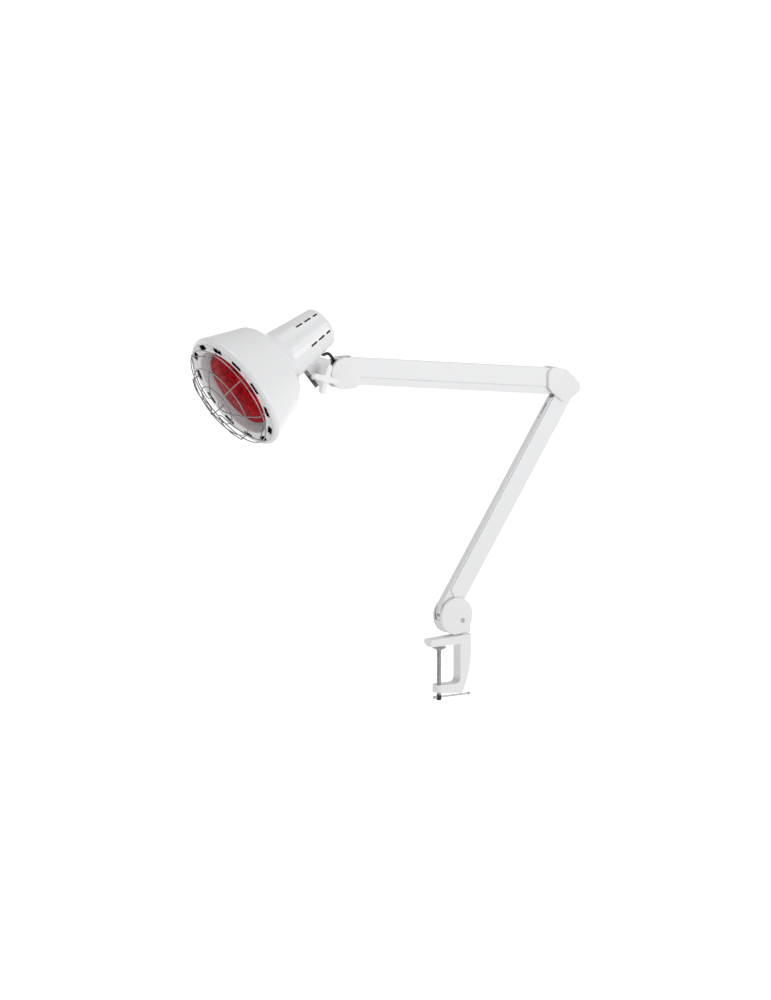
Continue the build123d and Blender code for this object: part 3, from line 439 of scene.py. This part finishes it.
MATERIALS = {
    "white_paint": enamel("white_enamel", WHITE),
    "white_aluminium": enamel("white_enamel_casting", WHITE, 0.28, 0.00004),
    "white_plastic": moulded("white_moulded", (0.88, 0.88, 0.885)),
    "knob_plastic": moulded("knob_moulded", (0.93, 0.93, 0.93), 0.26),
    "cap_plastic": moulded("cap_moulded", (0.5, 0.5, 0.5), 0.45),
    "black_plastic": moulded("black_moulded", (0.018, 0.018, 0.02), 0.35),
    "lamp_cap": steel("nickel_brass", (0.72, 0.68, 0.55), 0.25),
    "porcelain": moulded("porcelain", (0.8, 0.79, 0.74), 0.18),
    "bright_steel": steel("bright_nickel", (0.56, 0.55, 0.54), 0.22),
    "plain_steel": steel("zinc_plate", (0.55, 0.55, 0.56), 0.35),
    "dark_steel": folded_bracket(),
    "grey_cast": enamel("grey_enamel", (0.6, 0.61, 0.62), 0.35, 0.00005),
    "black_rubber": moulded("black_pvc", (0.015, 0.015, 0.016), 0.45),
    "red_glass": stippled_glass(),
}
# the painted shadow line along the fold of the upper arm's outer channel
UPPER_FOLD_SHADOW = (
    pivot("upper_tilt"), arm_left(UPPER_DIRECTION), CHANNEL_EDGE - 0.7, CHANNEL_EDGE - 0.05)
# the inside of the lower arm's inner channel near its slot, painted dark as shade: behind the web, between the
# walls, and from one distance before the elbow's pivot to another
WALL_PART = 0.6
HOLLOW_FROM, HOLLOW_TO = LOWER_REACH - 70, LOWER_REACH - 36
LOWER_HOLLOW_SHADE = (
    (pivot("lower_tilt"), arm_left(LOWER_DIRECTION), -30.0, LOWER_WEB - WALL_PART),
    (pivot("lower_tilt"), ACROSS, WALL_PART - INNER_HALF, INNER_HALF - WALL_PART),
    (pivot("lower_tilt"), arm_along(LOWER_DIRECTION), HOLLOW_FROM, HOLLOW_TO),
)
BY_NODE = {
    "spindle_head": steel("blued_steel", (0.05, 0.05, 0.055), 0.34),
    "lower_inner_channel": enamel("lower_inner_enamel", WHITE, shaded_hollow=LOWER_HOLLOW_SHADE),
    "upper_outer_channel": enamel("upper_channel_enamel", WHITE, shadow_band=UPPER_FOLD_SHADOW),
    # the faces of the shade and the reflector that look into the housing are painted near black as shade
    "shade": enamel("shade_enamel", WHITE, 0.22, painted_shade_face="inner face"),
    "reflector": enamel("reflector_enamel", WHITE, 0.26, painted_shade_face="outer face"),
    "wire_guard": steel("guard_nickel", (0.38, 0.38, 0.38), 0.16),
    "friction_washers": moulded("fibre", (0.03, 0.026, 0.022), 0.6),
}
RECORD_SLOTS = {entry["node"]: entry["material_slot"] for entry in frame["record"]["subparts"]}


def dress(piece, made):
    piece.data.materials.clear()
    piece.data.materials.append(made)


for node, thing in frame["nodes"].items():
    dress(thing, BY_NODE.get(node) or MATERIALS[RECORD_SLOTS[node]])


def finish_piece(piece, body, slot, *nodes, made=None):
    """Dresses a piece from its slot, or in made, and has it ride on a body in the place of CAD nodes."""
    dress(piece, made or MATERIALS[slot])
    if body:
        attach(piece, body)
    if nodes:
        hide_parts(*nodes)
    return piece


# ---------------------------------------------------------------- camera
# 12 m from the middle of the picture, whose 1000 rows are 1.49 mm each there
CAMERA_AZIMUTH, CAMERA_ELEVATION = math.radians(-32), math.radians(10)
CAMERA_DISTANCE, CAMERA_SIGHT = 12.0, 200.0
PICTURE_HEIGHT, SENSOR_HEIGHT = 1.49, 36.0
AIM = Vector((-0.0947, 0, 0.2299))


def make_camera():
    back = Vector((
        math.sin(CAMERA_AZIMUTH) * math.cos(CAMERA_ELEVATION),
        -math.cos(CAMERA_AZIMUTH) * math.cos(CAMERA_ELEVATION),
        math.sin(CAMERA_ELEVATION),
    ))
    data = bpy.data.cameras.new("camera")
    data.sensor_fit = "VERTICAL"
    data.sensor_height = SENSOR_HEIGHT
    data.lens = SENSOR_HEIGHT * CAMERA_DISTANCE / PICTURE_HEIGHT
    data.clip_end = CAMERA_SIGHT
    camera = bpy.data.objects.new("camera", data)
    camera.location = AIM + back * CAMERA_DISTANCE
    camera.rotation_euler = back.to_track_quat("Z", "Y").to_euler()
    bpy.context.scene.collection.objects.link(camera)
    bpy.context.scene.camera = camera


make_camera()


# ---------------------------------------------------------------- light and floor
FLOOR_Z, FLOOR_R = -2.5, 60.0
# the paper glows more from one distance to another, which makes the far floor white
NEAR_FLOOR, FAR_FLOOR, NEAR_GLOW, FAR_GLOW = 5.6, 7.6, 0.22, 0.75
# the sky is white at the horizon, greyer overhead, and darker towards the left
SKY = (("Z", 0.0, 0.22, 1.0, 0.58), ("X", -1.0, 0.1, 0.56, 0.96))
# name, place, the place it looks at, width, height and watts
SOFTBOXES = (
    ("key", (1.3, -2.6, 0.7), (0, 0, 0.25), 1.2, 1.2, 14.0),
    ("top", (-0.7, 0.0, 2.6), (-0.2, 0, 0.3), 1.6, 1.6, 12.8),
    ("strip", (0.78, -1.98, 1.62), (-0.26, 0, 0.44), 0.22, 1.0, 2.2),
)


def make_sky():
    world = bpy.data.worlds.new("studio")
    world.use_nodes = True
    tree = world.node_tree
    background = tree.nodes["Background"]
    background.inputs["Color"].default_value = (1, 1, 1, 1)
    direction = add_node(tree, "ShaderNodeSeparateXYZ", {0: where_on(tree, "Generated")})
    shares = [spread(tree, direction.outputs[axis], *limits) for axis, *limits in SKY]
    tree.links.new(maths(tree, "MULTIPLY", *shares), background.inputs["Strength"])
    bpy.context.scene.world = world
    bpy.context.scene.view_settings.view_transform = "Standard"


def make_floor():
    points, faces = lathe_mesh(
        [(0, 0), (FLOOR_R, 0)], lambda x, y, z: (x, y, FLOOR_Z), 64, closed=False)
    floor = mesh_piece("floor", points, faces, smooth=False)
    paper = material("paper", (0.8, 0.8, 0.8), 0.9, Emission_Color=(1, 1, 1, 1))
    tree = paper.node_tree
    distance = vector_maths(tree, "LENGTH", where_on(tree))
    glow = spread(tree, distance, NEAR_FLOOR, FAR_FLOOR, NEAR_GLOW, FAR_GLOW)
    plug(tree, glow, "Emission Strength")
    dress(floor, paper)


def make_softbox(name, place, aim, width, height, power):
    data = bpy.data.lights.new(name, "AREA")
    data.shape = "RECTANGLE"
    data.size, data.size_y = width, height
    data.energy = power
    light = bpy.data.objects.new(name, data)
    light.visible_camera = False
    light.location = place
    light.rotation_euler = (Vector(place) - Vector(aim)).to_track_quat("Z", "Y").to_euler()
    bpy.context.scene.collection.objects.link(light)


make_sky()
make_floor()
for softbox in SOFTBOXES:
    make_softbox(*softbox)


# ---------------------------------------------------------------- cord: the lamp head's lead
LEAD_DIAMETER = 0.0046
LEAD_DEPTH = 155.0
# the socket housing's depth and middle radius at both its ends
SOCKET_ROOT, SOCKET_TAIL = (92.0, 40.5), (177.0, 30.0)
HALF_SHELL = 0.6
# where the lead starts and where it is free, from the housing's outer face
LEAD_START, LEAD_FREE = -2.7, 6.3
# from the tilt pivot, over the bracket and down into the neck: x and z
NECK_ROUTE = (
    (20.3, 34.0), (27.5, 27.0), (31.8, 18.5), (29.0, 12.4), (21.5, 12.6), (13.0, 12.4), (13.0, 2.4))


def socket_radius(depth):
    """The socket housing's outer radius at a depth."""
    (d0, r0), (d1, r1) = SOCKET_ROOT, SOCKET_TAIL
    return r0 + (depth - d0) / (d1 - d0) * (r1 - r0) + HALF_SHELL


def make_lead():
    housing = socket_radius(LEAD_DEPTH)
    leaves = [in_head(housing + out, 0, LEAD_DEPTH) for out in (LEAD_START, LEAD_FREE)]
    round_neck = [pivot("head_tilt") + upright(x, 0, z) for x, z in NECK_ROUTE]
    line = nurbs_line(leaves + round_neck)
    points, faces = tube_mesh(line, LEAD_DIAMETER / 2, 20)
    lead = finish_piece(mesh_piece("lead", points, faces), None, "black_rubber")
    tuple(leaves[1])
    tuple(round_neck[-2])
    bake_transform(lead)
    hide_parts("head_lead")
    length = sum((b - a).length for a, b in zip(line, line[1:]))
    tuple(line[0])


make_lead()


# ---------------------------------------------------------------- bulb
# the glass in the head's frame: radius and depth at the places its profile passes through
LENS_TOP, LENS_MIDDLE, LENS_SHOULDER, LENS_BEND = (0, 1.5), (31, 3.6), (58, 9.0), (60.4, 11.0)
RIM_R, RIM_DEPTH = 61.0, 14.5
CONE_MIDDLE, CONE_END = (48, 56), (21, 92)
NECK_R, NECK_START, NECK_END = 15.0, 100.0, 106.0
LENS_WALL, CONE_WALL = 1.6, 1.2
STEM = ((0, 62), (3.0, 63), (4.2, 70), (6.0, 88), (9.5, 101), (9.5, 102), (0, 102))
FILAMENT_R, FILAMENT_DEPTH = 13, 56
# the filament's circle is open: it has 34 of the 40 points of a whole one
FILAMENT_POINTS, CIRCLE_POINTS = 34, 40
COIL_R, COIL_TURNS, COIL_STEPS = 0.9, 90, 8
# the supports: how many, the first one's turn in radians, the place on the stem where they start,
# and the share of the filament's radius and the depth where they bend
SUPPORTS, FIRST_SUPPORT = 5, 0.15
SUPPORT_ROOT, BEND_SHARE, BEND_DEPTH = (1, 0, 66), 0.6, 61
# the wires' radii
FILAMENT_WIRE, SUPPORT_WIRE = 0.16, 0.3


def arc(start, middle, end, steps):
    """Points of the circle's arc through three 2-D points, without its last one."""
    (ax, ay), (bx, by), (cx, cy) = start, middle, end
    d = 2 * (ax * (by - cy) + bx * (cy - ay) + cx * (ay - by))
    a2, b2, c2 = ax**2 + ay**2, bx**2 + by**2, cx**2 + cy**2
    ux = (a2 * (by - cy) + b2 * (cy - ay) + c2 * (ay - by)) / d
    uy = (a2 * (cx - bx) + b2 * (ax - cx) + c2 * (bx - ax)) / d
    first, last = math.atan2(ay - uy, ax - ux), math.atan2(cy - uy, cx - ux)
    turn = (last - first + math.pi) % math.tau - math.pi
    radius = math.hypot(ax - ux, ay - uy)
    angles = [first + turn * i / steps for i in range(steps)]
    return [(ux + radius * math.cos(t), uy + radius * math.sin(t)) for t in angles]


def inset(profile, amount):
    """A profile's points moved across its line, towards the bulb's inside."""
    out = []
    for i, (r, z) in enumerate(profile):
        (r0, z0), (r1, z1) = profile[max(i - 1, 0)], profile[min(i + 1, len(profile) - 1)]
        length = math.hypot(r1 - r0, z1 - z0)
        out.append((max(r - (z1 - z0) / length * amount, 0.0), z + (r1 - r0) / length * amount))
    return out


def coiled(line, radius, turns):
    """A helix of some turns wound along a row of points, in millimetres of radius."""
    out = []
    steps = turns * COIL_STEPS
    for i in range(steps + 1):
        share = i / steps * (len(line) - 1)
        low = min(int(share), len(line) - 2)
        centre = line[low].lerp(line[low + 1], share - low)
        along = (line[low + 1] - line[low]).normalized()
        side = HEAD_BACK.cross(along).normalized()
        turn = math.tau * turns * i / steps
        out.append(centre + (side * math.cos(turn) + HEAD_BACK * math.sin(turn)) * radius * MM)
    return out


def make_glass():
    """The lens and the silvered cone behind it, as two shells that meet at the rim."""
    rim = (RIM_R, RIM_DEPTH)
    lens = arc(LENS_TOP, LENS_MIDDLE, LENS_SHOULDER, 22) + arc(LENS_SHOULDER, LENS_BEND, rim, 6) + [rim]
    lens[0] = (0.0, lens[0][1])
    within = inset(lens, LENS_WALL)
    within[0], within[-1] = (0.0, lens[0][1] + LENS_WALL), (RIM_R - LENS_WALL, RIM_DEPTH)
    points, faces = lathe_mesh(lens + within[::-1], in_head, 128, closed=False)
    finish_piece(mesh_piece("bulb_lens", points, faces), "head", "red_glass", "lamp_glass")
    cone = arc(rim, CONE_MIDDLE, CONE_END, 26) + [CONE_END, (NECK_R, NECK_START), (NECK_R, NECK_END)]
    points, faces = lathe_mesh(cone + inset(cone, CONE_WALL)[::-1], in_head, 96)
    finish_piece(mesh_piece("bulb_back", points, faces), "head", "red_glass", made=silvered_glass())


def make_filament():
    """The glass stem, and the coiled filament on its supports."""
    points, faces = lathe_mesh(STEM, in_head, 32, closed=False)
    finish_piece(mesh_piece("bulb_stem", points, faces), "head", "red_glass", made=clear_glass())

    def on_circle(turn, depth, share=1.0):
        reach = FILAMENT_R * share
        return in_head(reach * math.cos(turn), reach * math.sin(turn), depth)

    circle = [on_circle(math.tau * i / CIRCLE_POINTS, FILAMENT_DEPTH) for i in range(FILAMENT_POINTS)]
    wires = [tube_mesh(coiled(circle, COIL_R, COIL_TURNS), FILAMENT_WIRE * MM, 5)]
    for i in range(SUPPORTS):
        turn = math.tau * i / SUPPORTS + FIRST_SUPPORT
        bend, tip = on_circle(turn, BEND_DEPTH, BEND_SHARE), on_circle(turn, FILAMENT_DEPTH + COIL_R)
        wires.append(tube_mesh([in_head(*SUPPORT_ROOT), bend, tip], SUPPORT_WIRE * MM, 6))
    tungsten = steel("tungsten", (0.4, 0.4, 0.42), 0.4)
    finish_piece(mesh_piece("bulb_filament", *joined(*wires)), "head", "plain_steel", made=tungsten)


make_glass()
make_filament()


# ---------------------------------------------------------------- guard welds
# the guard in millimetres: its wires' radius, and the sphere that its dome is part of
WIRE_R = 0.85
GUARD_SPHERE_R, GUARD_HEIGHT = 145.0, 38.0
# the rings that are welded to the wires: their radius and their beads'
WELDED_RINGS = ((59.0, 1.15), (82.0, 1.25))
# the first wire's turn and the turn from one to the next, in degrees
FIRST_WIRE, WIRE_SPACING, WIRES = 60, 45, 8
LEG_R = WELDED_RINGS[-1][0] - 2 * WIRE_R - 0.25
# the radii at which a wire bends
WIRE_BENDS = (LEG_R, 60.0, 38.0)
# how far a bead lies outside the leg and behind the wire, and its height as a share of its radius
BEAD_OUT, BEAD_RISE, BEAD_HEIGHT = 0.9, 0.12, 0.8


def depth_on_wire(radius):
    """The depth of a guard wire's middle at a radius. The wire is straight between its bends."""
    centre = GUARD_SPHERE_R - GUARD_HEIGHT
    knots = [(r, centre - math.sqrt(GUARD_SPHERE_R**2 - r**2)) for r in WIRE_BENDS]
    for (r1, d1), (r0, d0) in zip(knots, knots[1:]):
        if r0 <= radius <= r1:
            return d0 + (d1 - d0) * (radius - r0) / (r1 - r0)
    return knots[0][1]


def weld_bead(turn, ring_radius, size):
    angles = [math.pi * (i / 8 - 0.5) for i in range(9)]
    profile = [(size * math.cos(t), size * BEAD_HEIGHT * math.sin(t)) for t in angles]
    profile[0], profile[-1] = (0, profile[0][1]), (0, profile[-1][1])
    reach = min(ring_radius, LEG_R + BEAD_OUT)
    depth = depth_on_wire(min(ring_radius, LEG_R)) + WIRE_R + BEAD_RISE

    def place(x, y, z):
        return in_head(reach * math.cos(turn) + x, reach * math.sin(turn) + y, depth + z)

    return lathe_mesh(profile, place, 14, closed=False)


def make_welds():
    """A small flattened bead of weld at each crossing of the guard's rings and wires."""
    turns = [math.radians(FIRST_WIRE + WIRE_SPACING * i) for i in range(WIRES)]
    beads = [weld_bead(turn, *ring) for turn in turns for ring in WELDED_RINGS]
    piece = mesh_piece("guard_welds", *joined(*beads))
    finish_piece(piece, "head", "bright_steel", made=BY_NODE["wire_guard"])


make_welds()


# ---------------------------------------------------------------- springs
# the coils' middle radius, the wire's radius, the gap between turns, and the hooks' radius
SPRING_R, SPRING_WIRE, SPRING_GAP = 3.3, 0.88, 0.04
HOOK_R = 3.0
# the coils' share of the spring's length, and the steps of a turn and of the swell at each end
COIL_FROM, COIL_TO = 0.16, 0.86
TURN_STEPS, SWELL_STEPS = 12, 14
# name, node, joint, arm, post and anchor in the arm's frame, and the two bodies it joins
SPRINGS = (
    ("lower_coil_spring", "lower_spring", "lower_tilt", LOWER_DIRECTION,
     (9.8, 8.8), (LOWER_REACH - 62, 14.0), "base", "lower_link"),
    ("upper_coil_spring", "upper_spring", "upper_tilt", UPPER_DIRECTION,
     (8.0, 9.5), (UPPER_REACH - 70, 20.0), "elbow", "upper_link"),
)


def make_spring(name, node, joint, direction, post, anchor, post_body, link_body):
    """A close-wound tension spring with a hooked eye at each end, from a post to its anchor."""
    start, end = (in_arm(joint, direction, *place) for place in (post, anchor))
    along = (end - start).normalized()
    length = (end - start).length / MM
    side, up = -ACROSS, along.cross(-ACROSS).normalized()
    first, last = COIL_FROM * length, COIL_TO * length

    def place(x, y, z):
        return start + (along * x + up * y + side * z) * MM

    def eye(centre, begin, stop, steps=20):
        angles = [math.radians(begin + (stop - begin) * i / steps) for i in range(steps + 1)]
        return [place(centre + HOOK_R * math.cos(t), HOOK_R * math.sin(t), 0) for t in angles]

    # the shank from the hook to the coils is straight
    shank = first - 2 * HOOK_R
    line = eye(0, 330, 0) + [place(HOOK_R + shank * i / 8, 0, 0) for i in range(1, 9)]
    steps = round((last - first) / (2 * SPRING_WIRE + SPRING_GAP)) * TURN_STEPS
    for i in range(steps + 1):
        turn = math.tau * i / TURN_STEPS
        radius = SPRING_R * min(1.0, i / SWELL_STEPS, (steps - i) / SWELL_STEPS)
        x = first + (last - first) * i / steps
        line.append(place(x, radius * math.cos(turn), radius * math.sin(turn)))
    line += [place(last + HOOK_R, 0, 0)] + eye(length, 180, -150)
    points, faces = tube_mesh(line, SPRING_WIRE * MM, 8)
    piece = finish_piece(mesh_piece(name, points, faces), None, "plain_steel")
    place(first, 0, 0)
    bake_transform(piece)
    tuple(start)
    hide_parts(node)


for spring in SPRINGS:
    make_spring(*spring)


# ---------------------------------------------------------------- clamp spindle with its thread
# the heights of its tip, of the thread's upper end and of its lower end
SPINDLE_TOP, SPINDLE_NECK, SPINDLE_FOOT = -3.4, -7.4, -76.5
PLAIN_R, TIP_R, TIP_CHAMFER = 3.0, 2.6, 0.4
THREAD_R, THREAD_ROOT, THREAD_PITCH = 3.5, 2.85, 1.25
# the flank's steepness, and the part of its height that the flat root takes
FLANK_RISE, FLANK_LOSS = 2.6, 0.15
SPINDLE_SIDES, PITCH_STEPS = 28, 8


def thread_radius(phase, runout):
    """The thread's radius at a part of its pitch; runout is 0 where the thread has ended."""
    flank = min(1.0, max(0.0, FLANK_RISE * abs(phase - 0.5) - FLANK_LOSS))
    return THREAD_ROOT + (THREAD_R - THREAD_ROOT) * flank * runout


def make_spindle():
    turns = [k / SPINDLE_SIDES for k in range(SPINDLE_SIDES)]
    steps = int((SPINDLE_NECK - SPINDLE_FOOT) / THREAD_PITCH * PITCH_STEPS)
    rings = []
    for i in range(steps + 1):
        z = SPINDLE_FOOT + (SPINDLE_NECK - SPINDLE_FOOT) * i / steps
        # the thread runs out over one pitch at each end
        runout = min(1.0, i / PITCH_STEPS, (steps - i) / PITCH_STEPS)
        rings.append((z, [thread_radius((z / THREAD_PITCH - turn) % 1.0, runout) for turn in turns]))
    plain = (
        (SPINDLE_NECK + 0.02, PLAIN_R), (SPINDLE_TOP - TIP_CHAMFER, PLAIN_R), (SPINDLE_TOP, TIP_R))
    rings += [(z, [radius] * SPINDLE_SIDES) for z, radius in plain]
    points = [
        upright(radius * math.cos(math.tau * turn), radius * math.sin(math.tau * turn), z)
        for z, radii in rings for turn, radius in zip(turns, radii)]
    piece = mesh_piece("threaded_spindle", points, ring_faces(len(rings), SPINDLE_SIDES))
    finish_piece(piece, "spindle", "bright_steel", "clamp_spindle")


make_spindle()
